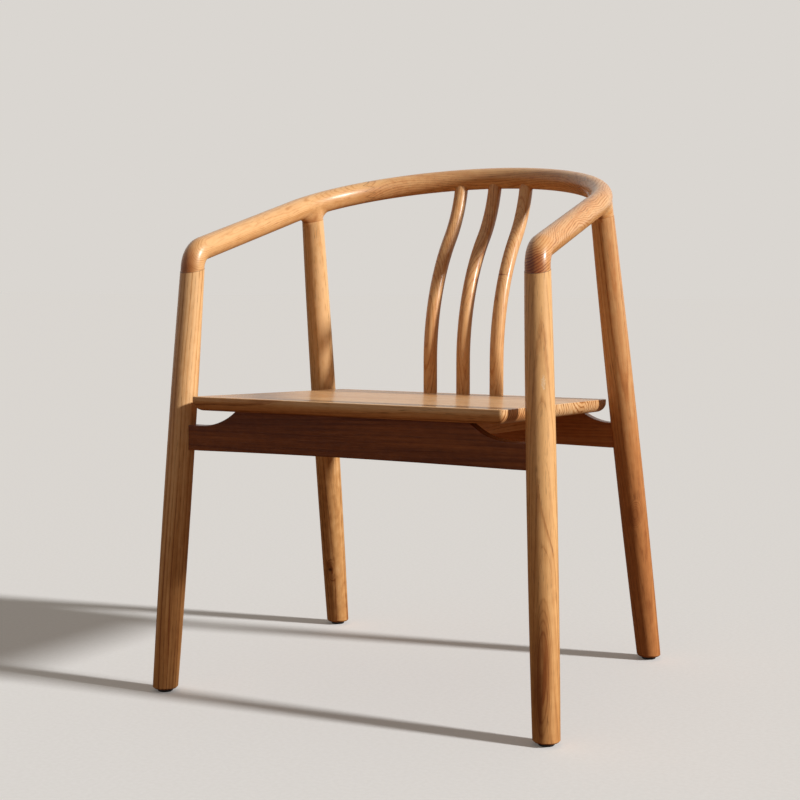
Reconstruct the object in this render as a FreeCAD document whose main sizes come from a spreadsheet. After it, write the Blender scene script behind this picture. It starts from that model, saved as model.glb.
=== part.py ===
import FreeCAD, Part
import math
import os
import re
import Sketcher
from FreeCAD import Placement, Rotation, Vector

# Horseshoe back armchair in solid wood.
# Millimetres, +X to the right of someone who faces the chair, +Y to its back, +Z up.
# The origin is on the floor, midway between the chair's sides and between its front and back.

os.makedirs("parts", exist_ok=True)
doc = FreeCAD.newDocument("armchair")

sizes = {
    # seat panel, measured at its top face
    "seatHeight": 440,
    "seatFallAngle": 2.5,
    "seatThickness": 20,
    "seatFrontWidth": 484,
    "seatRearWidth": 466,
    "seatDepth": 443,
    "seatFrontReach": 279,
    "seatEdgeRound": 14,
    "seatCornerRound": 6,
    "seatArris": 1,
    "boardCount": 4,
    # turned legs, measured on their axes
    "frontFootSpread": 602.4,
    "frontFootReach": 267.5,
    "rearFootSpread": 567.6,
    "rearFootReach": 236.5,
    "footDiameter": 37,
    "frontBellyDiameter": 40.6,
    "rearBellyDiameter": 41.4,
    "frontTopDiameter": 34.4,
    "rearTopDiameter": 34,
    "footRound": 2,
    # horseshoe rail, measured on its centreline in a plane that rises to the back
    "railDiameter": 34.4,
    "railAngle": 14.05,
    "armHeight": 647.2,
    "armSpread": 536.4,
    "armReach": 229,
    "railDepth": 514,
    "bowRadius": 254.5,
    "elbowRadius": 29.5,
    "seamDrop": 25,
    "rearLegAngle": 14.3,
    "saddleRound": 18,
    "fingerAngle": 39.5,
    "fingerLength": 18,
    "fingerPitch": 9,
    # round tenons that the legs and spindles carry
    "legTenonDiameter": 18,
    "legTenonRoot": 10,
    "legTenonLength": 15,
    "spindleTenonDiameter": 12,
    "spindleTenonRoot": 8,
    "spindleTenonLength": 15,
    # back spindles
    "spindleDiameter": 22,
    "spindleSpacing": 58,
    "spindleReach": 137,
    "spindleStraight": 52,
    "spindleLead": 20,
    "spindleTopAngle": 16.5,
    "spindleBendShare": 0.7,
    # aprons between the front legs and between the rear legs
    "apronThickness": 18,
    "frontApronHeight": 359,
    "rearApronHeight": 346.5,
    "frontApronEndDepth": 36.5,
    "rearApronEndDepth": 39,
    "frontScoopLength": 60,
    "rearScoopLength": 46,
    "frontScoopStart": 18,
    "rearScoopStart": 2,
    "apronArch": 2,
    "apronArris": 1.5,
    "apronHousing": 14,
    # bearers under the seat
    "bearerSpacing": 120,
    "bearerWidth": 24,
    "bearerDepth": 28,
    "bearerHousing": 6,
    # seat screws
    "screwShare": 0.5,
    "screwLength": 40,
    "screwDiameter": 4,
    "screwHeadDiameter": 8,
    "screwHeadHeight": 3,
    # floor glides and their nails
    "glideHeight": 5,
    "glideDiameter": 22,
    "glideRound": 1,
    "nailLength": 18,
    "nailDiameter": 2.4,
    "nailHeadDiameter": 7,
    "nailHeadHeight": 1.2,
    "nailRecess": 1.5,
    # gaps of round fits, how far a cutting solid runs past what it cuts, and the side of a half space
    "fitGap": 0.1,
    "endGap": 0.5,
    "overrun": 20,
    "halfSpaceSide": 1600,
}

sheet = doc.addObject("Spreadsheet::Sheet", "Sizes")
for row, (name, number) in enumerate(sizes.items(), start=1):
    sheet.set(f"A{row}", name)
    sheet.set(f"B{row}", str(number))
    sheet.setAlias(f"B{row}", name)
doc.recompute()


def value(name):
    return float(sheet.get(name))


def derive(name, number):
    # a size worked out from the driving ones
    line = len(sizes) + 1
    sizes[name] = number
    sheet.set(f"A{line}", name)
    sheet.set(f"B{line}", str(number))
    sheet.setAlias(f"B{line}", name)
    sheet.recompute()


def linked(text):
    return re.sub(r"[A-Za-z]\w*", lambda word: "Sizes." + word[0] if word[0] in sizes else word[0], text)


def bind(thing, **expressions):
    for prop, text in expressions.items():
        thing.setExpression(prop, linked(text))
    return thing


def worth(text):
    return float(sheet.evalExpression(linked(text)))


# Frames: the seat's top face and the rail's plane are tilted about X

upright = Vector(0, 0, 1)
seatFrame = Placement(
    Vector(0, -value("seatFrontReach"), value("seatHeight")),
    Rotation(Vector(1, 0, 0), -value("seatFallAngle")),
)
railFrame = Placement(
    Vector(0, -value("armReach"), value("armHeight")),
    Rotation(Vector(1, 0, 0), value("railAngle")),
)


def along(start, direction):
    return Placement(start, Rotation(upright, direction))


# height that the seat's thickness takes up, measured plumb
seatDrop = value("seatThickness") / math.cos(math.radians(value("seatFallAngle")))


def seatPoint(across, back, lift):
    return seatFrame.multVec(Vector(across, back, lift))


def seatLevel(back):
    # height of the seat's top face at a place along the chair's own Y
    fall = math.tan(math.radians(value("seatFallAngle")))
    return value("seatHeight") - (back + value("seatFrontReach")) * fall


# The rail's centreline on one side: elbow corner, straight arm tangent to the bow, bow

bowRadius = value("bowRadius")
bowCentre = Vector(0, value("railDepth") - bowRadius, 0)
armCorner = Vector(value("armSpread") / 2, 0, 0)
toCentre = bowCentre - armCorner
tangentLength = math.sqrt(toCentre.Length ** 2 - bowRadius ** 2)
armTurn = math.atan2(toCentre.y, toCentre.x) - math.asin(bowRadius / toCentre.Length)
armAhead = Vector(math.cos(armTurn), math.sin(armTurn), 0)
bowStart = armCorner + armAhead * tangentLength
bowStartAngle = math.degrees(math.atan2(bowStart.y - bowCentre.y, bowStart.x))


def mirrored(vector, side):
    return Vector(side * vector.x, vector.y, vector.z)


def bowPoint(degrees):
    turn = math.radians(degrees)
    return bowCentre + Vector(math.cos(turn), math.sin(turn), 0) * bowRadius


def footPoint(row, side):
    if row == "front":
        return Vector(side * value("frontFootSpread") / 2, -value("frontFootReach"), 0)
    return Vector(side * value("rearFootSpread") / 2, value("rearFootReach"), 0)


def headPoint(row, side):
    # where a leg's axis meets the rail's centreline
    local = armCorner if row == "front" else bowPoint(value("rearLegAngle"))
    return railFrame.multVec(mirrored(local, side))


def legAxis(row, side):
    return (headPoint(row, side) - footPoint(row, side)).normalize()


def legPoint(row, side, height):
    axis = legAxis(row, side)
    return footPoint(row, side) + axis * (height / axis.z)


def cylinder(name, place, **expressions):
    return placed(bind(doc.addObject("Part::Cylinder", name), **expressions), place)


def placed(thing, place):
    thing.Placement = place
    return thing


def cut(name, base, *tools):
    result = doc.addObject("Part::Cut", name)
    result.Base = base
    result.Tool = tools[0] if len(tools) == 1 else joined(name + "_tools", "Part::Compound", tools)
    result.Refine = True
    return result


def joined(name, kind, shapes):
    result = doc.addObject(kind, name)
    if kind == "Part::Compound":
        result.Links = list(shapes)
    else:
        result.Shapes = list(shapes)
        result.Refine = True
    return result


def originPlane(body, role):
    return next(item for item in body.Origin.OriginFeatures if item.Role == role)


def outline(body, name, role, points, arcs=()):
    # A closed outline through points given as sums of sizes. An entry of arcs turns the side
    # after that point into an arc with the bulge given, left of the way along it.
    sketch = body.newObject("Sketcher::SketchObject", name)
    sketch.AttachmentSupport = (originPlane(body, role), [""])
    sketch.MapMode = "FlatFace"
    bulges = dict(arcs)
    spots = [Vector(worth(x), worth(y), 0) for x, y in points]
    for index, spot in enumerate(spots):
        after = spots[(index + 1) % len(spots)]
        if index in bulges:
            ahead = after - spot
            middle = (spot + after) / 2 + Vector(-ahead.y, ahead.x, 0).normalize() * worth(bulges[index])
            sketch.addGeometry(Part.Arc(spot, middle, after), False)
        else:
            sketch.addGeometry(Part.LineSegment(spot, after), False)
    ends = []
    for index, spot in enumerate(spots):
        fromStart, fromEnd = (sketch.getPoint(index, end).distanceToPoint(spot) for end in (1, 2))
        ends.append((1, 2) if fromStart < fromEnd else (2, 1))
    for index in range(len(spots)):
        following = (index + 1) % len(spots)
        link = Sketcher.Constraint("Coincident", index, ends[index][1], following, ends[following][0])
        sketch.addConstraint(link)
    for index, (x, y) in enumerate(points):
        for kind, text in (("DistanceX", x), ("DistanceY", y)):
            reach = Sketcher.Constraint(kind, -1, 1, index, ends[index][0], worth(text))
            number = sketch.addConstraint(reach)
            bind(sketch, **{f"Constraints[{number}]": text})
    for index, bulge in bulges.items():
        x1, y1 = points[index]
        x2, y2 = points[(index + 1) % len(points)]
        chord = f"(pow(({x2}) - ({x1}); 2) + pow(({y2}) - ({y1}); 2))"
        text = f"({chord} / 4 + pow({bulge}; 2)) / (2 * abs({bulge}))"
        number = sketch.addConstraint(Sketcher.Constraint("Radius", index, worth(text)))
        bind(sketch, **{f"Constraints[{number}]": text})
    return sketch


def revolved(name, points, place, arcs=()):
    # A turned piece: its half outline in the XZ plane spun about Z
    body = doc.addObject("PartDesign::Body", name)
    sketch = outline(body, name + "_outline", "XZ_Plane", points, arcs)
    spin = body.newObject("PartDesign::Revolution", name + "_turning")
    spin.Profile = sketch
    spin.ReferenceAxis = (sketch, ["V_Axis"])
    spin.Angle = 360
    return placed(body, place)


def padded(name, role, points, thickness, place, arcs=()):
    # A plank: its outline thickened by the same amount to both sides of the plane
    body = doc.addObject("PartDesign::Body", name)
    sketch = outline(body, name + "_outline", role, points, arcs)
    pad = body.newObject("PartDesign::Pad", name + "_plank")
    pad.Profile = sketch
    pad.Midplane = True
    bind(pad, Length=thickness)
    return placed(body, place)


print("frames ready, arm turns in by", round(math.degrees(armTurn) - 90, 2))


# Cutting solids shared by several pieces


def slab(name, frame, lift, below=False, behind=None):
    # the half space over, or under, a plane of a frame, or the quarter of it behind a line
    side = value("halfSpaceSide")
    front = -side / 2 if behind is None else behind
    corner = frame.multiply(Placement(Vector(-side / 2, front, lift - side * below), Rotation()))
    box = bind(
        doc.addObject("Part::Box", name),
        Length="halfSpaceSide", Width="halfSpaceSide", Height="halfSpaceSide",
    )
    return placed(box, corner)


overSeam = slab("over_seam", railFrame, -value("seamDrop"))
underSeam = slab("under_seam", railFrame, -value("seamDrop"), below=True)
rearUnderSeam = slab("rear_under_seam", railFrame, -value("seamDrop"), below=True, behind=value("armReach"))
underSeatTop = slab("under_seat_top", seatFrame, 0, below=True)
overSeatUnderside = slab("over_seat_underside", seatFrame, -value("seatThickness"))


# Seat: four boards edge glued side to side, so their grain runs across the chair

seatBody = doc.addObject("PartDesign::Body", "seat_panel")
seatOutline = outline(
    seatBody, "seat_outline", "XY_Plane",
    [
        ("-seatFrontWidth / 2", "0"),
        ("seatFrontWidth / 2", "0"),
        ("seatRearWidth / 2", "seatDepth"),
        ("-seatRearWidth / 2", "seatDepth"),
    ],
)
seatPad = seatBody.newObject("PartDesign::Pad", "seat_plank")
seatPad.Profile = seatOutline
seatPad.Reversed = True
bind(seatPad, Length="seatThickness")
doc.recompute()


def edgesWhere(thing, test):
    return [f"Edge{index}" for index, edge in enumerate(thing.Shape.Edges, start=1) if test(edge)]


def rounding(body, name, base, test, radius):
    fillet = body.newObject("PartDesign::Fillet", name)
    fillet.Base = (base, edgesWhere(base, test))
    bind(fillet, Radius=radius)
    doc.recompute()
    return fillet


seatCorners = rounding(
    seatBody, "seat_corners", seatPad,
    lambda edge: edge.BoundBox.ZLength > value("seatThickness") / 2, "seatCornerRound",
)
seatUnder = rounding(
    seatBody, "seat_underside", seatCorners,
    lambda edge: edge.BoundBox.ZMax < -value("seatThickness") / 2, "seatEdgeRound",
)
seatTop = rounding(
    seatBody, "seat_arris", seatUnder,
    lambda edge: edge.BoundBox.ZMin > -value("seatArris") / 2, "seatArris",
)
placed(seatBody, seatFrame)

boardCount = int(value("boardCount"))
boardDepth = value("seatDepth") / boardCount


def seatBoardBlank(index):
    overrun = value("overrun")
    isFirst = index == 0
    isLast = index == boardCount - 1
    blank = bind(
        doc.addObject("Part::Box", f"board_blank_{index + 1}"),
        Length="seatFrontWidth + 2 * overrun",
        Width=f"seatDepth / boardCount + {isFirst + isLast} * overrun",
        Height="seatThickness + 2 * overrun",
    )
    corner = Vector(
        -value("seatFrontWidth") / 2 - overrun,
        index * boardDepth - isFirst * overrun,
        -value("seatThickness") - overrun,
    )
    placed(blank, seatFrame.multiply(Placement(corner, Rotation())))
    board = doc.addObject("Part::Common", f"board_rough_{index + 1}")
    board.Base = seatBody
    board.Tool = blank
    return board


# Legs: slender turned legs, a little fuller halfway up, cut level at the foot, with a round
# tenon on the seam under the rail

pieces = {}
sideNames = {-1: "left", 1: "right"}
chairSides = (-1, 1)
topSizes = {"front": "frontTopDiameter", "rear": "rearTopDiameter"}
for row in topSizes:
    derive(row + "LegLength", (headPoint(row, 1) - footPoint(row, 1)).Length)


def seamPoint(row, side):
    # where a leg's axis crosses the plane that both seams of an arm lie in
    head = headPoint(row, side)
    axis = legAxis(row, side)
    normal = railFrame.Rotation.multVec(upright)
    return head - axis * (value("seamDrop") / normal.dot(axis))


def rounded(name, base, radius, test):
    # edges of a finished shape rounded by one radius
    fillet = doc.addObject("Part::Fillet", name)
    fillet.Base = base
    fillet.Edges = [
        (index, value(radius), value(radius))
        for index, edge in enumerate(base.Shape.Edges, start=1) if test(edge)
    ]
    return fillet


def pin(name, root, axis, diameter, length):
    # a round tenon that rises from inside one piece, or the hole that takes it
    return cylinder(name, along(root, axis), Radius=diameter + " / 2", Height=length)


def legTenon(name, row, side, gap="0", end="0"):
    root = seamPoint(row, side) - legAxis(row, side) * value("legTenonRoot")
    length = f"legTenonRoot + legTenonLength + {end}"
    return pin(name, root, legAxis(row, side), f"(legTenonDiameter + 2 * {gap})", length)


def turnedLeg(row, side, *flares):
    name = f"{row}_{sideNames[side]}_leg"
    top = topSizes[row]
    length = row + "LegLength"
    blank = revolved(
        name + "_turning",
        [("0", "0"), ("footDiameter / 2", "0"), (top + " / 2", length), ("0", length)],
        along(footPoint(row, side), legAxis(row, side)),
        arcs=[(1, f"(footDiameter + {top}) / 4 - {row}BellyDiameter / 2")],
    )
    # an upturned cone standing on the glide cuts the foot level and bevels its edge
    foot = legPoint(row, side, value("glideHeight"))
    cone = bind(
        doc.addObject("Part::Cone", name + "_bevel"), Radius1="footDiameter / 2 - footRound",
        Radius2="footDiameter / 2 - footRound + halfSpaceSide", Height="halfSpaceSide",
    )
    standing = doc.addObject("Part::Common", name + "_standing")
    standing.Base = blank
    standing.Tool = placed(cone, Placement(foot, Rotation()))
    seated = cut(name + "_seated", standing, overSeam)
    tenon = legTenon(name + "_tenon", row, side)
    return joined(name + "_tenoned", "Part::MultiFuse", [seated, *flares, tenon])


# Floor glides: a nailed plastic button under each foot


def glideAndNail(row, side):
    name = f"{row}_{sideNames[side]}"
    foot = legPoint(row, side, value("glideHeight"))
    place = Placement(Vector(foot.x, foot.y, 0), Rotation())
    glide = revolved(
        name + "_glide",
        [
            ("nailDiameter / 2 + fitGap", "nailRecess + nailHeadHeight"),
            ("nailHeadDiameter / 2 + fitGap", "nailRecess + nailHeadHeight"),
            ("nailHeadDiameter / 2 + fitGap", "0"),
            ("glideDiameter / 2 - glideRound", "0"),
            ("glideDiameter / 2", "glideRound"),
            ("glideDiameter / 2", "glideHeight"),
            ("nailDiameter / 2 + fitGap", "glideHeight"),
        ],
        place,
    )
    nail = revolved(
        name + "_glide_nail",
        [
            ("0", "nailRecess"),
            ("nailHeadDiameter / 2", "nailRecess"),
            ("nailHeadDiameter / 2", "nailRecess + nailHeadHeight"),
            ("nailDiameter / 2", "nailRecess + nailHeadHeight"),
            ("nailDiameter / 2", "nailRecess + nailLength"),
            ("0", "nailRecess + nailLength"),
        ],
        place,
    )
    hole = cylinder(
        name + "_nail_hole", place,
        Radius="nailDiameter / 2 + fitGap", Height="nailRecess + nailLength + endGap",
    )
    return glide, nail, hole


# Aprons: a plank between the front legs and one between the rear legs, scooped down at both
# ends and arched a little underneath, its top bevelled to the seat


def apron(row):
    name = row + "_apron"
    height = row + "ApronHeight"
    endDepth = row + "ApronEndDepth"
    axisPoint = legPoint(row, 1, value(height) + value(endDepth) / 2)
    underside = seatLevel(axisPoint.y) - seatDrop
    run = value(row + "ScoopLength")
    climb = underside - value(height) - value(endDepth)
    slope = math.atan2(climb, run)
    derive(row + "ApronHalf", axisPoint.x - value(row + "BellyDiameter") / 2)
    derive(row + "ApronRise", climb)
    derive(row + "ScoopBulge", math.hypot(run, climb) / 2 * math.tan(slope / 2))
    end = f"({row}ApronHalf + apronHousing)"
    low = f"({row}ApronHalf - {row}ScoopStart)"
    high = f"({low} - {row}ScoopLength)"
    ledge = f"({height} + {endDepth})"
    rise = f"({ledge} + {row}ApronRise)"
    plank = padded(
        name + "_plank", "XZ_Plane",
        [
            ("-" + low, height), (low, height), (end, height), (end, ledge), (low, ledge),
            (high, rise), (high, rise + " + overrun"),
            ("-" + high, rise + " + overrun"), ("-" + high, rise),
            ("-" + low, ledge), ("-" + end, ledge), ("-" + end, height),
        ],
        "apronThickness", Placement(Vector(0, axisPoint.y, 0), Rotation()),
        arcs=[(0, "apronArch"), (4, f"{row}ScoopBulge"), (8, f"{row}ScoopBulge")],
    )
    bevelled = cut(name + "_bevelled", plank, overSeatUnderside)
    doc.recompute()
    # the long edges that show are eased, the ones under the seat and in the legs are not
    eased = rounded(
        name + "_eased", bevelled, "apronArris",
        lambda edge: edge.BoundBox.XLength > value("apronHousing")
        and edge.BoundBox.YLength < value("apronArris")
        and edge.BoundBox.ZMin < underside - value("apronArris"),
    )
    return eased, bevelled, axisPoint.y


# Bearers: two rails from apron to apron under the seat, screwed up into the boards


def bearerEnd(name, back):
    derive("bearer" + name, back)
    derive("bearerTop" + name, seatLevel(back) - seatDrop)


def bearer(side):
    name = sideNames[side] + "_bearer"
    return padded(
        name + "_plank", "YZ_Plane",
        [
            ("bearerFront", "bearerTopFront - bearerDepth"),
            ("bearerRear", "bearerTopRear - bearerDepth"),
            ("bearerRear", "bearerTopRear"),
            ("bearerFront", "bearerTopFront"),
        ],
        "bearerWidth", Placement(Vector(side * value("bearerSpacing"), 0, 0), Rotation()),
    )


def screwSpots(side):
    # one screw up into the middle of each board, square to the seat
    underneath = -value("seatThickness") - value("bearerDepth")
    for index in range(boardCount):
        back = (index + value("screwShare")) * boardDepth
        yield seatPoint(side * value("bearerSpacing"), back, underneath)


def screw(name, place, gap="0", end="0"):
    head = f"screwHeadDiameter / 2 + {gap}"
    shank = f"screwDiameter / 2 + {gap}"
    return revolved(
        name,
        [
            ("0", "0"), (head, "0"), (shank, "screwHeadHeight"),
            (shank, f"screwLength + {end}"), ("0", f"screwLength + {end}"),
        ],
        place,
    )


# Horseshoe rail: two arms and a crest, each one run of the same round section. An arm turns
# down at its elbow to the front leg and carries a saddle on the rear leg. Both end in one
# plane, parallel to the rail's, and finger joints tie the arms to the crest.


def railRun(name, edges, frame, start, heading):
    # a round section swept along a path drawn in the XY plane of a frame
    path = doc.addObject("Sketcher::SketchObject", name + "_path")
    path.addGeometry(edges, False)
    placed(path, frame)
    ring = bind(doc.addObject("Part::Circle", name + "_section"), Radius="railDiameter / 2")
    placed(ring, along(start, heading))
    doc.recompute()
    run = doc.addObject("Part::Sweep", name)
    run.Sections = [ring]
    run.Spine = (path, [f"Edge{index + 1}" for index in range(len(edges))])
    run.Solid = True
    run.Frenet = False
    return run


def bowArc(first, last):
    return Part.Arc(bowPoint(first), bowPoint((first + last) / 2), bowPoint(last))


def sideways(angle, side):
    # an angle on the right half of the bow, or its mirror image on the left half
    return angle if side > 0 else 180 - angle


fingerAngle = value("fingerAngle")
fingerReach = math.degrees(value("fingerLength") / bowRadius)


def elbowRun(name, side):
    corner = railFrame.multVec(mirrored(armCorner, side))
    ahead = railFrame.Rotation.multVec(mirrored(armAhead, side))
    down = legAxis("front", side) * -1
    bendAngle = math.acos(ahead.dot(down))
    inset = value("elbowRadius") / math.tan(bendAngle / 2)
    inward = (ahead + down).normalize()
    centre = corner + inward * (value("elbowRadius") / math.sin(bendAngle / 2))
    plane = Placement(corner, Rotation(ahead, upright, down.cross(ahead), "ZXY"))
    into = plane.inverse().multVec
    bendTop = corner + ahead * inset
    bendFoot = corner + down * inset
    bendMiddle = centre - inward * value("elbowRadius")
    stubEnd = corner + down * (value("seamDrop") + value("overrun"))
    edges = [
        Part.Arc(into(bendTop), into(bendMiddle), into(bendFoot)),
        Part.LineSegment(into(bendFoot), into(stubEnd)),
    ]
    return railRun(name, edges, plane, bendTop, ahead * -1), bendTop, ahead


def fingerCutter(name, side, outward):
    # teeth across the rail's height at a finger joint, with all that lies beyond them
    turn = math.radians(sideways(fingerAngle, side))
    tangent = Vector(-math.sin(turn), math.cos(turn), 0) * side
    place = Placement(
        mirrored(bowPoint(fingerAngle), side),
        Rotation(tangent, upright, tangent.cross(upright), "XYZ"),
    )
    halfSteps = math.ceil(value("railDiameter") / value("fingerPitch")) + 1
    far = f"{outward} * (fingerLength + overrun)"
    points = [
        (("-" if step % 2 else "") + "fingerLength / 2", f"{step} * fingerPitch / 2")
        for step in range(-halfSteps, halfSteps + 1)
    ]
    points += [(far, f"{halfSteps} * fingerPitch / 2"), (far, f"-{halfSteps} * fingerPitch / 2")]
    return padded(name, "XY_Plane", points, "railDiameter + 2 * overrun", railFrame.multiply(place))


def saddledRun(side):
    name = sideNames[side] + "_arm"
    elbow, bendTop, ahead = elbowRun(name + "_elbow", side)
    into = railFrame.inverse().multVec
    edges = [
        Part.LineSegment(into(bendTop), mirrored(bowStart, side)),
        bowArc(sideways(bowStartAngle, side), sideways(fingerAngle + fingerReach, side)),
    ]
    run = railRun(name + "_run", edges, railFrame, bendTop, ahead)
    head = headPoint("rear", side)
    boss = cylinder(
        name + "_boss", along(head, legAxis("rear", side) * -1),
        Radius="rearTopDiameter / 2", Height="seamDrop + overrun",
    )
    rough = joined(name + "_rough", "Part::MultiFuse", [elbow, run, boss])
    doc.recompute()
    return rounded(
        name + "_saddle", rough, "saddleRound",
        lambda edge: edge.Curve.TypeId == "Part::GeomBSplineCurve"
        and edge.CenterOfMass.distanceToPoint(head) < value("rearTopDiameter"),
    )


def saddleFoot(side, saddle):
    # the saddle's sweep runs on over the seam, so the top of the rear leg carries its foot
    foot = doc.addObject("Part::Common", sideNames[side] + "_saddle_foot")
    foot.Base = saddle
    foot.Tool = rearUnderSeam
    return foot


def arm(side, saddle):
    name = sideNames[side] + "_arm"
    sockets = [
        legTenon(f"{name}_{row}_socket", row, side, "fitGap", "endGap") for row in topSizes
    ]
    return cut(name, saddle, underSeam, *sockets, fingerCutter(name + "_fingers", side, 1))


crestStart = fingerAngle - fingerReach
crestTurn = math.radians(crestStart)
crestHeading = railFrame.Rotation.multVec(Vector(-math.sin(crestTurn), math.cos(crestTurn), 0))
crestRun = railRun(
    "crest_run", [bowArc(crestStart, 180 - crestStart)], railFrame,
    railFrame.multVec(bowPoint(crestStart)), crestHeading,
)
crestFingers = [fingerCutter(f"crest_fingers_{sideNames[side]}", side, -1) for side in chairSides]
railSleeve = bind(
    doc.addObject("Part::Torus", "rail_sleeve"),
    Radius1="bowRadius", Radius2="railDiameter / 2 + fitGap",
)
placed(railSleeve, railFrame.multiply(Placement(bowCentre, Rotation())))

# Spindles: three turned rods in a gentle S that rises from the seat to the underside of the bow


def crestPoint(across):
    back = bowCentre.y + math.sqrt(bowRadius ** 2 - across ** 2)
    return railFrame.multVec(Vector(across, back, 0))


def spindle(name, across):
    top = crestPoint(across)
    base = seatLevel(value("spindleReach"))
    share = value("spindleBendShare")
    lean = math.radians(value("spindleTopAngle"))
    straight = value("spindleStraight")
    lead = value("spindleLead")
    climb = top.z - base - straight - lead * math.cos(lean)
    reach = top.y - value("spindleReach") - lead * math.sin(lean)
    # the lower bend turns back to the sweep angle, the upper one turns up again to the lean
    drift = ((1 + share * math.cos(lean)) * climb + share * math.sin(lean) * reach) / (1 + share)
    sweep = math.atan2(reach, climb) + math.acos(drift / math.hypot(reach, climb))
    lowerRadius = climb / ((1 + share) * math.sin(sweep) - share * math.sin(lean))
    upperRadius = share * lowerRadius
    start = Vector(value("spindleReach"), base - value("spindleTenonLength"), 0)
    bendStart = Vector(value("spindleReach"), base + straight, 0)

    def lowerArc(turn):
        return bendStart + Vector(1 - math.cos(turn), math.sin(turn), 0) * lowerRadius

    def upperArc(turn):
        swing = Vector(math.cos(turn) - math.cos(sweep), math.sin(sweep) - math.sin(turn), 0)
        return lowerArc(sweep) + swing * upperRadius

    tip = Vector(top.y, top.z, 0)
    body = doc.addObject("PartDesign::Body", name + "_rod")
    path = body.newObject("Sketcher::SketchObject", name + "_path")
    path.AttachmentSupport = (originPlane(body, "YZ_Plane"), [""])
    path.MapMode = "FlatFace"
    path.addGeometry([
        Part.LineSegment(start, bendStart),
        Part.Arc(bendStart, lowerArc(sweep / 2), lowerArc(sweep)),
        Part.Arc(lowerArc(sweep), upperArc((sweep + lean) / 2), upperArc(lean)),
        Part.LineSegment(upperArc(lean), tip),
    ], False)
    ring = body.newObject("Sketcher::SketchObject", name + "_section")
    ring.AttachmentSupport = (originPlane(body, "XY_Plane"), [""])
    ring.MapMode = "FlatFace"
    ring.AttachmentOffset = Placement(Vector(0, 0, start.y), Rotation())
    circle = Part.Circle(Vector(0, start.x, 0), upright, value("spindleDiameter") / 2)
    ring.addGeometry(circle, False)
    ring.addConstraint(Sketcher.Constraint("DistanceX", -1, 1, 0, 3, 0))
    ring.addConstraint(Sketcher.Constraint("DistanceY", -1, 1, 0, 3, start.x))
    ring.addConstraint(Sketcher.Constraint("Diameter", 0, value("spindleDiameter")))
    bind(ring, **{"Constraints[1]": "spindleReach", "Constraints[2]": "spindleDiameter"})
    rod = body.newObject("PartDesign::AdditivePipe", name + "_sweep")
    rod.Profile = ring
    rod.Spine = (path, [])
    placed(body, Placement(Vector(across, 0, 0), Rotation()))
    return cut(name + "_shouldered", body, underSeatTop, railSleeve)


def spindleTenons(name, across, gap="0", end="0"):
    base = Vector(across, value("spindleReach"), seatLevel(value("spindleReach")))
    lean = math.radians(value("spindleTopAngle"))
    leanAxis = Vector(0, math.sin(lean), math.cos(lean))
    root = value("spindleTenonRoot")
    size = f"(spindleTenonDiameter + 2 * {gap})"
    length = f"spindleTenonRoot + spindleTenonLength + {end}"
    lower = pin(name + "_foot", base + upright * root, upright * -1, size, length)
    upperRoot = crestPoint(across) - leanAxis * (value("railDiameter") / 2 + root)
    upper = pin(name + "_head", upperRoot, leanAxis, size, length)
    return lower, upper


# Assembly: each piece takes its pockets and holes from the pieces that enter it


def keep(name, thing):
    thing.Label = name
    pieces[name] = thing
    return thing


frontApron, frontPocket, frontY = apron("front")
rearApron, rearPocket, rearY = apron("rear")
apronInset = value("apronThickness") / 2 - value("bearerHousing")
bearerEnd("Front", frontY + apronInset)
bearerEnd("Rear", rearY - apronInset)
bearers = {side: bearer(side) for side in chairSides}
screwPlaces = [
    along(spot, seatFrame.Rotation.multVec(upright)) for side in chairSides for spot in screwSpots(side)
]
screws = [screw(f"screw_{number}", place) for number, place in enumerate(screwPlaces, start=1)]
screwHoles = joined("screw_holes", "Part::Compound", [
    screw(f"screw_hole_{number}", place, "fitGap", "endGap")
    for number, place in enumerate(screwPlaces, start=1)
])
bearerPair = joined("bearer_pair", "Part::Compound", bearers.values())
keep("front_apron", cut("front_apron", frontApron, bearerPair))
keep("rear_apron", cut("rear_apron", rearApron, bearerPair))
apronPockets = joined("apron_pockets", "Part::Compound", [frontPocket, rearPocket])
for side in chairSides:
    keep(sideNames[side] + "_bearer", cut(sideNames[side] + "_bearer", bearers[side], screwHoles))

nails = []
saddles = {side: saddledRun(side) for side in chairSides}
for row in topSizes:
    for side in chairSides:
        glide, nail, hole = glideAndNail(row, side)
        name = f"{row}_{sideNames[side]}"
        flares = [saddleFoot(side, saddles[side])] if row == "rear" else []
        keep(name + "_glide", glide)
        nails.append(nail)
        keep(name + "_leg", cut(name + "_leg", turnedLeg(row, side, *flares), apronPockets, hole))
keep("glide_nails", joined("glide_nails", "Part::Compound", nails))
keep("seat_screws", joined("seat_screws", "Part::Compound", screws))

spindleHoles = []
for name, step in (("left", -1), ("middle", 0), ("right", 1)):
    across = step * value("spindleSpacing")
    rod = spindle(name + "_spindle", across)
    tenons = spindleTenons(name + "_tenon", across)
    keep(name + "_spindle", joined(name + "_spindle", "Part::MultiFuse", [rod, *tenons]))
    spindleHoles += spindleTenons(name + "_mortise", across, "fitGap", "endGap")
spindleSockets = joined("spindle_sockets", "Part::Compound", spindleHoles)
for side in chairSides:
    keep(sideNames[side] + "_arm", arm(side, saddles[side]))
keep("crest_rail", cut("crest_rail", crestRun, spindleSockets, *crestFingers))
for index in range(boardCount):
    name = f"seat_board_{index + 1}"
    keep(name, cut(name, seatBoardBlank(index), spindleSockets, screwHoles))

doc.recompute()

failed = [item.Name for item in doc.Objects if "Invalid" in item.State or "Error" in item.State]
if failed:
    raise RuntimeError("these features failed: " + ", ".join(failed))
for name, piece in pieces.items():
    shape = piece.Shape
    if shape.isNull() or not shape.isValid() or not shape.Solids:
        raise RuntimeError(name + " has no valid solid")
    print(name, "solids", len(shape.Solids), "volume", round(shape.Volume))
for name, piece in pieces.items():
    piece.Shape.exportStep(f"parts/{name}.step")
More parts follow.
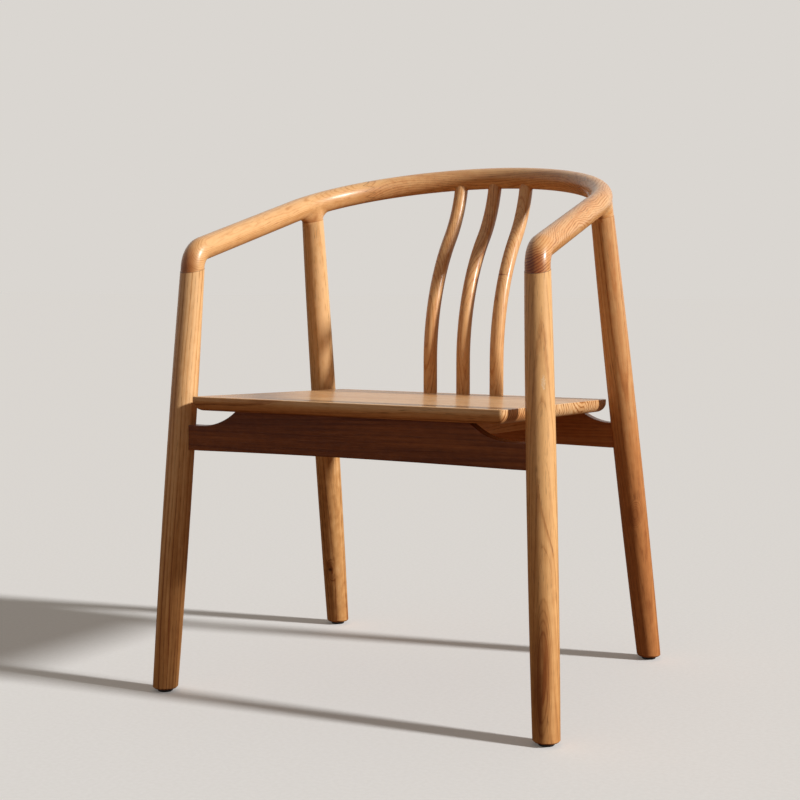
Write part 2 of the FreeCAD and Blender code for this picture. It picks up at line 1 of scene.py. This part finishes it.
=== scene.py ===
import bpy
import math
from mathutils import Matrix, Vector

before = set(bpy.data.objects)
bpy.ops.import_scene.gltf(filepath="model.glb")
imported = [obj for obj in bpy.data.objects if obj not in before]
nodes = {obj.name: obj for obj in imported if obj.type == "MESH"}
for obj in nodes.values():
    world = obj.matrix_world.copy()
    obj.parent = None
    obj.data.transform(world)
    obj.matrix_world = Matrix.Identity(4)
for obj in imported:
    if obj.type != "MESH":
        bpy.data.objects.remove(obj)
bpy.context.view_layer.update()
print("frame loaded,", len(nodes), "nodes")

# camera, where the photograph was taken from

cameraLook = {
    "place": (1.01921, -2.15657, 0.62421),
    "right": (0.8967156, 0.4426071, 0.0),
    "up": (-0.0371739, 0.0754266, 0.9964582),
    "lens": 70.53,
    "sensor": 36,
    "farthest": 100,
}


def addCamera():
    camera = bpy.data.objects.new("viewCamera", bpy.data.cameras.new("viewCamera"))
    bpy.context.scene.collection.objects.link(camera)
    camera.data.lens = cameraLook["lens"]
    camera.data.sensor_width = cameraLook["sensor"]
    camera.data.clip_end = cameraLook["farthest"]
    right = Vector(cameraLook["right"])
    up = Vector(cameraLook["up"])
    axes = Matrix((right, up, right.cross(up))).transposed()
    camera.matrix_world = Matrix.Translation(cameraLook["place"]) @ axes.to_4x4()
    bpy.context.scene.camera = camera


addCamera()
bpy.context.scene.view_settings.view_transform = "Standard"


# shader maths

class Wire:
    # one value or colour on its way through a finish, so that maths reads as plain expressions
    def __init__(self, finish, socket):
        self.finish = finish
        self.socket = socket

    def calc(self, operation, *others):
        inputs = dict(enumerate((self, *others)))
        return self.finish.node("ShaderNodeMath", {"operation": operation}, inputs)

    def turned(self, operation, other):
        return self.finish.node("ShaderNodeMath", {"operation": operation}, {0: other, 1: self})

    def __add__(self, other):
        return self.calc("ADD", other)

    def __sub__(self, other):
        return self.calc("SUBTRACT", other)

    def __rsub__(self, other):
        return self.turned("SUBTRACT", other)

    def __mul__(self, other):
        return self.calc("MULTIPLY", other)

    def __truediv__(self, other):
        return self.calc("DIVIDE", other)

    def __rtruediv__(self, other):
        return self.turned("DIVIDE", other)

    def __abs__(self):
        return self.calc("ABSOLUTE")

    __radd__ = __add__
    __rmul__ = __mul__

    def also(self, output):
        # another output of the same node
        return Wire(self.finish, self.socket.node.outputs[output])

    def between(self, low, high, start=0.0, end=1.0):
        # eases from start to end while the value goes from low to high
        inputs = {"Value": self, "From Min": low, "From Max": high, "To Min": start, "To Max": end}
        return self.finish.node("ShaderNodeMapRange", {"interpolation_type": "SMOOTHSTEP"}, inputs)

    def profile(self, *stops):
        return self.finish.node("ShaderNodeValToRGB", {"stops": stops}, {"Fac": self})


reliefLook = {"Strength": 0.4, "Distance": 0.0005}


class Finish:
    # the nodes of one material, or of the world
    def __init__(self, owner):
        owner.use_nodes = True
        self.owner = owner
        self.tree = owner.node_tree
        self.tree.nodes.clear()
        if isinstance(owner, bpy.types.Material):
            self.place = self.node("ShaderNodeTexCoord", output="Object")

    def node(self, kind, settings=None, inputs=None, output=0):
        made = self.tree.nodes.new(kind)
        for name, setting in (settings or {}).items():
            if name != "stops":
                setattr(made, name, setting)
                continue
            stops = made.color_ramp.elements
            for index, (spot, level) in enumerate(setting):
                stop = stops[index] if index < 2 else stops.new(spot)
                stop.position = spot
                stop.color = (level, level, level, 1)
        for name, item in (inputs or {}).items():
            if isinstance(item, Wire):
                self.tree.links.new(item.socket, made.inputs[name])
            else:
                made.inputs[name].default_value = item
        return Wire(self, made.outputs[output] if made.outputs else None)

    def vector(self, operation, *items, output="Vector"):
        return self.node("ShaderNodeVectorMath", {"operation": operation}, dict(enumerate(items)), output)

    def noise(self, place, stretch, detail=2.0):
        spread = self.vector("MULTIPLY", place, stretch)
        return self.node("ShaderNodeTexNoise", inputs={"Vector": spread, "Scale": 1.0, "Detail": detail})

    def blend(self, share, first, second, mode="MIX"):
        settings = {"data_type": "RGBA", "blend_type": mode, "clamp_factor": True}
        return self.node("ShaderNodeMix", settings, {0: share, 6: first, 7: second}, output=2)

    def across(self, heading, point):
        # how far along a heading a place lies from a point
        return self.vector("DOT_PRODUCT", self.place, heading, output="Value") - Vector(heading).dot(point)

    def facing(self, heading):
        # 1 where the surface faces a heading, 0 where it runs along it, -1 where it faces away
        return self.vector("DOT_PRODUCT", self.place.also("Normal"), heading, output="Value")

    def patch(self, point, size, core=0.3):
        # 1 at a point, fading to 0 at the edge of an upright oval
        offset = self.vector("SUBTRACT", self.place, point)
        return self.vector("LENGTH", self.vector("DIVIDE", offset, size), output="Value").between(1.0, core)

    def surface(self, colour, roughness, height, **constants):
        bump = self.node("ShaderNodeBump", inputs={**reliefLook, "Height": height})
        inputs = {"Base Color": colour, "Roughness": roughness, "Normal": bump, **constants}
        self.close(self.node("ShaderNodeBsdfPrincipled", inputs=inputs))
        return self.owner

    def close(self, shader, kind="ShaderNodeOutputMaterial"):
        self.node(kind, inputs={"Surface": shader})


def tint(code):
    # a colour written as six hexadecimal digits, made linear
    shares = [int(code[index:index + 2], 16) / 255 for index in (0, 2, 4)]
    return (*[s / 12.92 if s <= 0.04045 else ((s + 0.055) / 1.055) ** 2.4 for s in shares], 1)


def dress(material, *names):
    for name in names:
        for slot in nodes[name].material_slots:
            slot.material = material


# horseshoe rail: where its seams and finger joints run

railLook = {
    "tilt": 14.05,
    "height": 0.6472,
    "reach": 0.229,
    "elbowAcross": 0.2682,
    "bowMiddle": 0.2595,
    "bowRadius": 0.2545,
    "seamDrop": 0.025,
    "fingerAngle": 39.5,
    "fingerLength": 0.018,
    "fingerPitch": 0.009,
}
railRise = math.sin(math.radians(railLook["tilt"]))
railRun = math.cos(math.radians(railLook["tilt"]))
railNormal = Vector((0, -railRise, railRun))


def railPlace(across, back):
    return Vector((across, back * railRun - railLook["reach"], back * railRise + railLook["height"]))


def fingerPlace(side):
    turn = math.radians(railLook["fingerAngle"])
    radius = railLook["bowRadius"]
    point = railPlace(side * radius * math.cos(turn), railLook["bowMiddle"] + radius * math.sin(turn))
    ahead = math.cos(turn)
    return Vector((-side * math.sin(turn), ahead * railRun, ahead * railRise)), point


def seamLine(finish):
    # distance from the plane seam under an elbow
    return abs(finish.across(railNormal, railPlace(0, 0) - railNormal * railLook["seamDrop"]))


def fingerLine(side):
    # distance from the zigzag of a finger joint
    heading, point = fingerPlace(side)
    length = railLook["fingerLength"]
    half = railLook["fingerPitch"] / 2

    def distance(finish):
        tooth = finish.across(railNormal, point).calc("PINGPONG", half) * (length / half)
        return abs(finish.across(heading, point) - length / 2 + tooth) / math.hypot(1, length / half)

    return distance


# timber: growth rings round a pith, streaks and pores drawn out along the grain, satin lacquer

timberLook = {
    "pale": "E9B57B",
    "warm": "D0955A",
    "deep": "96572A",
    "warmRange": (-0.05, 0.5),  # tones over which the pale wood turns warm, and below, deep
    "deepRange": (0.35, 1.05),
    "tone": 0.2,
    "ringWidth": 0.0046,
    "ringProfile": ((0, 0.75), (1, 0.75), (0.1, 1.0), (0.32, 0.2), (0.6, 0.0), (0.88, 0.12)),
    "weakest": 0.2,  # strength of the weakest ring
    "sway": 1.8,  # how far the rings wander, in rings
    "swayGain": 3,
    "ripple": 0.4,
    "rippleAcross": 45,  # ripples in a metre across the grain, and below, along it
    "rippleRun": 6,
    "figure": 0.36,  # how much darker the early wood is
    "clouds": 0.8,
    "mottle": 0.3,
    "streaks": 0.62,
    "fibre": 0.35,
    "pore": "573016",
    "poreRange": (0.57, 0.66),
    "poreShare": 0.4,
    "poreSpread": 0.2,  # share of the pores that lies outside the early wood
    "fleckRange": (0.68, 0.75),
    "fleckShare": 0.3,
    "endRange": (0.35, 0.95),
    "endShade": 0.4,
    "endTone": "BB884E",
    "endFigure": 0.3,
    "seam": "4A2A14",
    "seamWidth": 0.0006,
    "seamBreaks": (-0.25, 0.2, 0.35, 0.75),
    "roughness": 0.37,
    "fibreBlur": 0.16,
    "poreBlur": 0.2,
    "polish": 0.0,  # how much smoother hands have made the upper side
    "polishRange": (0.1, 0.9),
    "polishClouds": 0.3,
    "gloss": 0.3,
    "lacquer": 0.22,
    "lacquerBlur": 0.2,
    "fibreRise": 0.5,
    "ringRise": 0.15,
    "poreDepth": 0.6,
    "fleckDepth": 0.3,
    "knotCore": 0.8,
    "swirls": (),  # places where the rings bend round a knot or an old branch
    "lines": (),
    "calm": None,  # a place where the figure fades
    "paintedLowShade": None,  # painted shade: the wood drawn darker below a height
    "nick": None,  # a small healed mark in the wood, pale and a little rough
}
# how many blotches a metre of timber has across and along its grain, and how fine their detail is
grainNoise = {
    "sway": (7, 1.5, 2),
    "clouds": (16, 2, 2),
    "mottle": (110, 70, 2),
    "streak": (170, 3.5, 3),
    "fibre": (800, 20, 2),
    "pore": (1250, 48, 1),
    "fleck": (420, 34, 1),
}
nickLook = {"speckle": (1300, 1300, 420), "range": (0.38, 0.52), "share": 0.6, "depth": 1.6}


class Timber(Finish):
    def __init__(self, name, along, centre, pith, changes):
        super().__init__(bpy.data.materials.new(name))
        self.look = {**timberLook, **changes}
        self.lengthwise = along.normalized()
        inward = Vector(pith) - self.lengthwise * self.lengthwise.dot(Vector(pith))
        aside = inward.normalized()
        turn = Matrix((aside, self.lengthwise.cross(aside), self.lengthwise)).transposed()
        inputs = {"Vector": self.place, "Location": centre, "Rotation": turn.to_euler()}
        self.grain = self.node("ShaderNodeMapping", {"vector_type": "TEXTURE"}, inputs)
        self.marks = [(swirl, self.patch(swirl["place"], swirl["size"])) for swirl in self.look["swirls"]]
        self.clouds = self.drawn("clouds") - 0.5
        self.fibre = self.drawn("fibre") - 0.5
        run = (self.look["rippleAcross"], self.look["rippleAcross"], self.look["rippleRun"])
        self.ripple = self.noise(self.grain, run) - 0.5
        self.addRings(inward.length)

    def drawn(self, name):
        # noise drawn out along the grain
        across, lengthwise, detail = grainNoise[name]
        return self.noise(self.grain, (across, across, lengthwise), detail)

    def addRings(self, depth):
        # rings round the pith, each with its own strength, and the pores in their early wood
        look = self.look
        inside = self.node("ShaderNodeSeparateXYZ", inputs={"Vector": self.grain})
        aside, beside = inside - depth, inside.also("Y")
        radius = (aside * aside + beside * beside).calc("SQRT")
        sway = (self.drawn("sway") - 0.5) * (look["sway"] * look["swayGain"])
        age = radius / look["ringWidth"] + sway + self.ripple * look["ripple"]
        for swirl, mark in self.marks:
            age = age + mark * swirl["rings"]
        early = age.calc("FRACT").profile(*look["ringProfile"])
        year = self.node("ShaderNodeTexWhiteNoise", {"noise_dimensions": "1D"}, {"W": age.calc("FLOOR")})
        self.ring = early * (year + look["weakest"])
        if look["calm"]:
            calm = look["calm"]
            self.ring = self.ring * (1 - self.patch(calm["place"], calm["size"]) * calm["share"])
        share = early * (1 - look["poreSpread"]) + look["poreSpread"]
        self.pore = self.drawn("pore").between(*look["poreRange"]) * share
        self.fleck = self.drawn("fleck").between(*look["fleckRange"])

    def tone(self, end):
        look = self.look
        tone = self.ring * (end * look["endFigure"] + look["figure"])
        tone = tone + (self.drawn("streak") - 0.5) * look["streaks"] + self.clouds * look["clouds"]
        tone = tone + (self.drawn("mottle") - 0.5) * look["mottle"] + self.fibre * look["fibre"]
        tone = tone + look["tone"]
        for swirl, mark in self.marks:
            if "flush" in swirl:
                tone = tone + mark * swirl["flush"]
        # painted shade: the tone darkens below a given height, standing for shade on the lower part of the
        # piece
        if look["paintedLowShade"]:
            paintedLowShade = look["paintedLowShade"]
            height = self.across((0, 0, 1), (0, 0, 0))
            tone = tone + height.between(paintedLowShade["full"], paintedLowShade["gone"], paintedLowShade["tone"], 0.0)
        return tone

    def colour(self):
        # the ends of the fibres drink more lacquer and look darker
        look = self.look
        end = abs(self.facing(self.lengthwise)).between(*look["endRange"])
        tone = self.tone(end)
        colour = self.blend(tone.between(*look["warmRange"]), tint(look["pale"]), tint(look["warm"]))
        colour = self.blend(tone.between(*look["deepRange"]), colour, tint(look["deep"]))
        colour = self.blend(end * look["endShade"], colour, tint(look["endTone"]), "MULTIPLY")
        dark = self.pore * look["poreShare"] + self.fleck * look["fleckShare"]
        colour = self.blend(dark, colour, tint(look["pore"]))
        for swirl in look["swirls"]:
            if "knot" in swirl:
                knot = self.patch(swirl["place"], swirl["knot"]) * (self.fibre + look["knotCore"])
                colour = self.blend(knot, colour, tint(look["pore"]))
        for line in look["lines"]:
            broken = (self.ripple + self.fibre).between(*look["seamBreaks"])
            seam = line(self).between(look["seamWidth"], 0.0) * broken
            colour = self.blend(seam, colour, tint(look["seam"]))
        return colour

    def roughness(self):
        look = self.look
        roughness = self.fibre * look["fibreBlur"] + self.pore * look["poreBlur"] + look["roughness"]
        if not look["polish"]:
            return roughness
        worn = self.clouds * look["polishClouds"] + look["polish"]
        return roughness - self.facing((0, 0, 1)).between(*look["polishRange"]) * worn

    def finished(self):
        look = self.look
        colour = self.colour()
        height = self.fibre * look["fibreRise"] + self.ring * look["ringRise"]
        height = height - self.pore * look["poreDepth"] - self.fleck * look["fleckDepth"]
        if look["nick"]:
            nick = {**nickLook, **look["nick"]}
            scar = self.patch(nick["place"], nick["size"]) * self.noise(self.place, nick["speckle"], 1)
            colour = self.blend(scar.between(*nick["range"]) * nick["share"], colour, tint(nick["tone"]))
            height = height - scar * nick["depth"]
        lacquer = {"Coat Weight": look["lacquer"], "Coat Roughness": look["lacquerBlur"]}
        lacquer["Specular IOR Level"] = look["gloss"]
        return self.surface(colour, self.roughness(), height, **lacquer)


def dressTimber(name, along, centre, pith, lean=(0, 0, 0), **changes):
    # lean turns the grain a little from the run of the piece
    dress(Timber(name, Vector(along) + Vector(lean), centre, pith, changes).finished(), name)


# legs, turned from straight stock

legLook = {
    "front": {"foot": (0.3012, -0.2675, 0.0), "head": (0.2682, -0.229, 0.6472), "lines": [seamLine]},
    "rear": {"foot": (0.2838, 0.2365, 0.0), "head": (0.2466, 0.0837, 0.7255), "lines": []},
}
# the darkening of each leg's lower part below a height is painted shade
legGrain = {
    "front_left_leg": {
        "pith": (0.055, 0.03, 0), "lean": (0.002, 0.003, 0), "tone": 0.14, "figure": 0.42, "streaks": 1.05,
        "ringWidth": 0.005, "ripple": 1.4, "rippleRun": 2.5, "pale": "F0C088",
        "paintedLowShade": {"full": 0.12, "gone": 0.46, "tone": 0.22},
    },
    "front_right_leg": {
        "pith": (-0.028, 0.05, 0), "lean": (0.008, -0.02, 0), "tone": 0.04, "figure": 0.38,
        "ringWidth": 0.0034, "pale": "F1BB7C", "paintedLowShade": {"full": 0.0, "gone": 0.42, "tone": 0.34},
        "nick": {"place": (0.2885, -0.2554, 0.476), "size": (0.006, 0.006, 0.019), "tone": "F4D9B4"},
        "swirls": [
            {"place": (0.301, -0.262, 0.34), "size": (0.018, 0.018, 0.12), "rings": -1.2},
            {"place": (0.298, -0.279, 0.09), "size": (0.017, 0.017, 0.13), "rings": 4, "flush": 0.55},
        ],
    },
    # painted light: the rear left leg is drawn paler and lighter in tone than the other legs
    "rear_left_leg": {
        "pith": (-0.05, 0.04, 0), "lean": (0.003, 0.001, 0), "tone": 0.0, "mottle": 0.7, "pale": "F2C28A",
        "warm": "D9A063", "paintedLowShade": {"full": 0.2, "gone": 0.45, "tone": 0.5},
        "swirls": [{
            "place": (-0.2766, 0.1959, 0.103), "size": (0.012, 0.012, 0.028), "rings": 2.4, "flush": 0.3,
            "knot": (0.006, 0.006, 0.0045),
        }],
    },
    "rear_right_leg": {
        "pith": (-0.04, 0.045, 0), "lean": (-0.01, 0.014, 0), "tone": 0.18, "figure": 0.28, "sway": 2.2,
        "ringWidth": 0.0036, "streaks": 0.5, "clouds": 0.5, "warm": "CC8850", "deep": "8A4820",
        "paintedLowShade": {"full": 0.2, "gone": 0.5, "tone": 0.4},
        "swirls": [{"place": (0.277, 0.17, 0.245), "size": (0.014, 0.014, 0.03), "rings": 5, "flush": 0.2}],
    },
}


def dressLeg(row, side, word):
    name = f"{row}_{word}_leg"
    foot, head = (Vector((side * x, y, z)) for x, y, z in (legLook[row]["foot"], legLook[row]["head"]))
    dressTimber(name, head - foot, foot, lines=legLook[row]["lines"], **legGrain[name])


for row in legLook:
    for side, word in ((-1, "left"), (1, "right")):
        dressLeg(row, side, word)
print("legs dressed")

# arms and crest, sawn from planks, so the grain runs straight on through the curves

armLook = {
    "inward": 0.0515,  # how far an arm runs inward and ahead in a metre, on the rail's plane
    "ahead": 0.9987,
    "saddleDrop": 0.015,
    "saddleCalm": {"size": (0.04, 0.05, 0.045), "share": 0.8},
}
armTimber = {"endShade": 0.85, "polish": 0.06, "lacquer": 0.36, "ripple": 2.6, "rippleRun": 16}
armGrain = {
    "left": {
        "pith": (0.1, 0.0, 0.09), "lean": (-0.05, 0, 0.03), "tone": 0.08, "figure": 0.46, "endFigure": 0.0,
        "ringWidth": 0.0022, "sway": 2.4, "streaks": 0.4, "mottle": 0.5, "pore": "A5622F",
        "lacquerBlur": 0.3,
    },
    "right": {
        "pith": (-0.045, 0.0, 0.068), "lean": (-0.04, 0, 0.06), "figure": 0.7, "ringWidth": 0.0034,
        "endFigure": 1.0, "sway": 2.6, "warm": "D5904F", "deep": "9C5018",
        "swirls": [
            {"place": (0.277, -0.13, 0.682), "size": (0.03, 0.1, 0.04), "rings": 5},
            {"place": (0.272, 0.03, 0.724), "size": (0.03, 0.08, 0.04), "rings": -4},
        ],
    },
}
crestGrain = {
    "pith": (0.0, -0.03, -0.065), "tone": 0.12, "figure": 0.28, "ringWidth": 0.004, "polish": 0.1,
    "lacquer": 0.32, "endShade": 0.5, "clouds": 0.5, "warm": "CC8C56",
}
crestLook = {"along": (1, 0.01, 0), "back": 0.5}


def dressArm(side, word):
    along = (-armLook["inward"] * side, armLook["ahead"] * railRun, armLook["ahead"] * railRise)
    x, y, z = legLook["rear"]["head"]
    calm = {"place": (side * x, y, z - armLook["saddleDrop"]), **armLook["saddleCalm"]}
    dressTimber(
        word + "_arm", along, railPlace(side * railLook["elbowAcross"], 0), calm=calm,
        lines=[seamLine, fingerLine(side)], **armTimber, **armGrain[word],
    )


for side, word in ((-1, "left"), (1, "right")):
    dressArm(side, word)
crestMiddle = railPlace(0, crestLook["back"])
crestLines = [fingerLine(-1), fingerLine(1)]
dressTimber("crest_rail", crestLook["along"], crestMiddle, lines=crestLines, **crestGrain)
print("rail dressed")

# spindles

spindleLook = {"along": (0, 0.16, 1), "spacing": 0.058, "back": 0.14, "height": 0.42}
spindleTimber = {"ringWidth": 0.004, "figure": 0.4, "streaks": 0.9, "warm": "D08E52"}
spindleGrain = {
    "left": {"pith": (0.03, 0.05, 0), "tone": 0.14},
    "middle": {"pith": (-0.05, 0.03, 0), "tone": 0.14},
    "right": {
        "pith": (-0.02, -0.05, 0), "tone": 0.1, "pore": "8A4426",
        "swirls": [{
            "place": (0.05, 0.15, 0.6135), "size": (0.03, 0.06, 0.012), "rings": 1.5,
            "knot": (0.021, 0.3, 0.0018),
        }],
    },
}
for number, (word, grain) in enumerate(spindleGrain.items(), start=-1):
    centre = (number * spindleLook["spacing"], spindleLook["back"], spindleLook["height"])
    dressTimber(word + "_spindle", spindleLook["along"], centre, **spindleTimber, **grain)
print("spindles dressed")

# seat boards, with the grain across the chair

# fan and rise turn the grain of each board a little more than that of the last
boardLook = {"pitch": 0.11, "start": -0.335, "height": 0.43, "fan": 0.004, "rise": 0.002}
# the boards' paler colours are partly the wood's own and partly painted sheen on the seat top
boardTimber = {
    "ringWidth": 0.0072, "sway": 1.4, "ripple": 1.1, "figure": 0.46, "endFigure": 0.5, "endShade": 0.0,
    "roughness": 0.58, "gloss": 0.12, "polish": 0.03, "lacquer": 0.55, "pale": "F2C692", "warm": "DBA066",
}
boardGrain = [
    # painted shade: the first board is drawn darker below its top, on the front edge and underside
    {"pith": (0, 0.075, -0.03), "tone": 0.14, "paintedLowShade": {"full": 0.424, "gone": 0.438, "tone": 0.4}},
    {"pith": (0, -0.09, 0.035), "tone": 0.2},
    {"pith": (0, 0.06, 0.05), "tone": 0.1},
    {"pith": (0, -0.07, -0.04), "tone": 0.18},
]
middle = (len(boardGrain) + 1) / 2
for number, grain in enumerate(boardGrain, start=1):
    centre = (0, boardLook["pitch"] * number + boardLook["start"], boardLook["height"])
    along = (1, boardLook["fan"] * (number - middle), boardLook["rise"] * number)
    dressTimber(f"seat_board_{number}", along, centre, **boardTimber, **grain)
print("seat dressed")

# aprons and bearers

# painted shade: the aprons' darker pale colour and their darker, redder tones stand for the shade under the
# seat, the front apron most
apronLook = {"along": (1, 0.006, 0.008), "pale": "D79A60"}
apronGrain = {
    "front_apron": {
        "centre": (0, -0.245, 0.39), "pith": (0, 0.07, -0.06), "tone": 0.7, "figure": 0.2,
        "warm": "A66233", "deep": "683013",
    },
    "rear_apron": {
        "centre": (0, 0.16, 0.38), "pith": (0, 0.04, 0.09), "tone": 0.42, "figure": 0.28,
        "warm": "B8723F", "deep": "7C3E1A",
    },
}
bearerLook = {"along": (0, 1, -0.04)}
bearerGrain = {
    "left_bearer": {"centre": (-0.12, 0, 0.4), "pith": (-0.04, 0, -0.05)},
    "right_bearer": {"centre": (0.12, 0, 0.4), "pith": (0.04, 0, -0.05)},
}
for name, grain in apronGrain.items():
    dressTimber(name, **apronLook, **grain)
for name, grain in bearerGrain.items():
    dressTimber(name, **bearerLook, **grain)
print("aprons and bearers dressed")

# floor glides, nails and screws

smallLook = {
    "glide": {"tone": "161518", "worn": "4C4A48", "roughness": 0.48, "speckle": 900, "metal": 0.0},
    "steel": {"tone": "B4B7BA", "worn": "7E7F80", "roughness": 0.32, "speckle": 1600, "metal": 1.0},
}
wearLook = {
    "scuff": 140,
    "scuffRange": (0.5, 0.75),
    "scuffShare": 0.25,
    "scuffBlur": 0.15,
    "speckleDetail": 3,
    "speckleRange": (0.4, 0.8),
    "speckleShare": 0.3,
    "speckleBlur": 0.1,
    "speckleRise": 0.4,
}


def smallFinish(name):
    look = {**wearLook, **smallLook[name]}
    finish = Finish(bpy.data.materials.new(name))
    speckle = finish.noise(finish.place, (look["speckle"],) * 3, look["speckleDetail"])
    scuff = finish.noise(finish.place, (look["scuff"],) * 3).between(*look["scuffRange"])
    worn = speckle.between(*look["speckleRange"]) * look["speckleShare"] + scuff * look["scuffShare"]
    colour = finish.blend(worn, tint(look["tone"]), tint(look["worn"]))
    roughness = scuff * look["scuffBlur"] + speckle * look["speckleBlur"] + look["roughness"]
    return finish.surface(colour, roughness, speckle * look["speckleRise"], Metallic=look["metal"])


dress(smallFinish("glide"), *[f"{row}_{word}_glide" for row in legLook for word in ("left", "right")])
dress(smallFinish("steel"), "glide_nails", "seat_screws")
print("glides, nails and screws dressed")

# studio: a pale floor that runs into a pale backdrop, one soft sun from the right, soft light all round

studioLook = {
    "floorSize": 60.0,
    "backdrop": "DAD6D1",
    "floorPale": "EEEDEB",
    "floorGlow": 0.105,
    "floorSpeckle": "C9C5BF",
    "floorGrit": 160,
    "floorGritRange": (0.3, 0.7, 0.0, 0.1),
    "floorBounce": "7C5C42",  # what the object's underside sees of it
    "ambient": 0.2,
    "ambientTone": "FFF0E0",
    "sunLevel": 1.2,
    "sunWidth": 5,
    "sunBearing": 3,
    "sunHeight": 27,
}


def addFloor():
    bpy.ops.object.select_all(action="DESELECT")
    bpy.ops.mesh.primitive_plane_add(size=studioLook["floorSize"])
    floor = bpy.context.object
    floor.name = "studioFloor"
    finish = Finish(bpy.data.materials.new("studioFloor"))
    grit = finish.noise(finish.place, (studioLook["floorGrit"],) * 3).between(*studioLook["floorGritRange"])
    pale = finish.blend(grit, tint(studioLook["floorPale"]), tint(studioLook["floorSpeckle"]))
    ray = finish.node("ShaderNodeLightPath", output="Is Camera Ray")
    inputs = {
        "Base Color": finish.blend(ray, tint(studioLook["floorBounce"]), pale),
        "Roughness": 1.0,
        "Specular IOR Level": 0.0,
        "Emission Color": finish.blend(ray, (0, 0, 0, 1), tint(studioLook["backdrop"])),
        "Emission Strength": studioLook["floorGlow"],
    }
    finish.close(finish.node("ShaderNodeBsdfPrincipled", inputs=inputs))
    floor.data.materials.append(finish.owner)


def addSun():
    sun = bpy.data.lights.new("studioSun", "SUN")
    sun.energy = studioLook["sunLevel"] * math.pi
    sun.angle = math.radians(studioLook["sunWidth"])
    holder = bpy.data.objects.new("studioSun", sun)
    bpy.context.scene.collection.objects.link(holder)
    bearing = math.radians(studioLook["sunBearing"])
    height = math.radians(studioLook["sunHeight"])
    level = math.cos(height)
    source = Vector((math.cos(bearing) * level, math.sin(bearing) * level, math.sin(height)))
    holder.rotation_euler = source.to_track_quat("Z", "Y").to_euler()


def addSky():
    finish = Finish(bpy.data.worlds.new("studio"))
    bpy.context.scene.world = finish.owner
    ray = finish.node("ShaderNodeLightPath", output="Is Camera Ray")
    seen = ray.calc("MAXIMUM", ray.also("Is Glossy Ray")).calc("MAXIMUM", ray.also("Is Transmission Ray"))
    soft = {"Color": tint(studioLook["ambientTone"]), "Strength": studioLook["ambient"]}
    light = finish.node("ShaderNodeBackground", inputs=soft)
    backdrop = finish.node("ShaderNodeBackground", inputs={"Color": tint(studioLook["backdrop"])})
    mix = finish.node("ShaderNodeMixShader", inputs={0: seen, 1: light, 2: backdrop})
    finish.close(mix, "ShaderNodeOutputWorld")


addFloor()
addSun()
addSky()
print("studio ready")
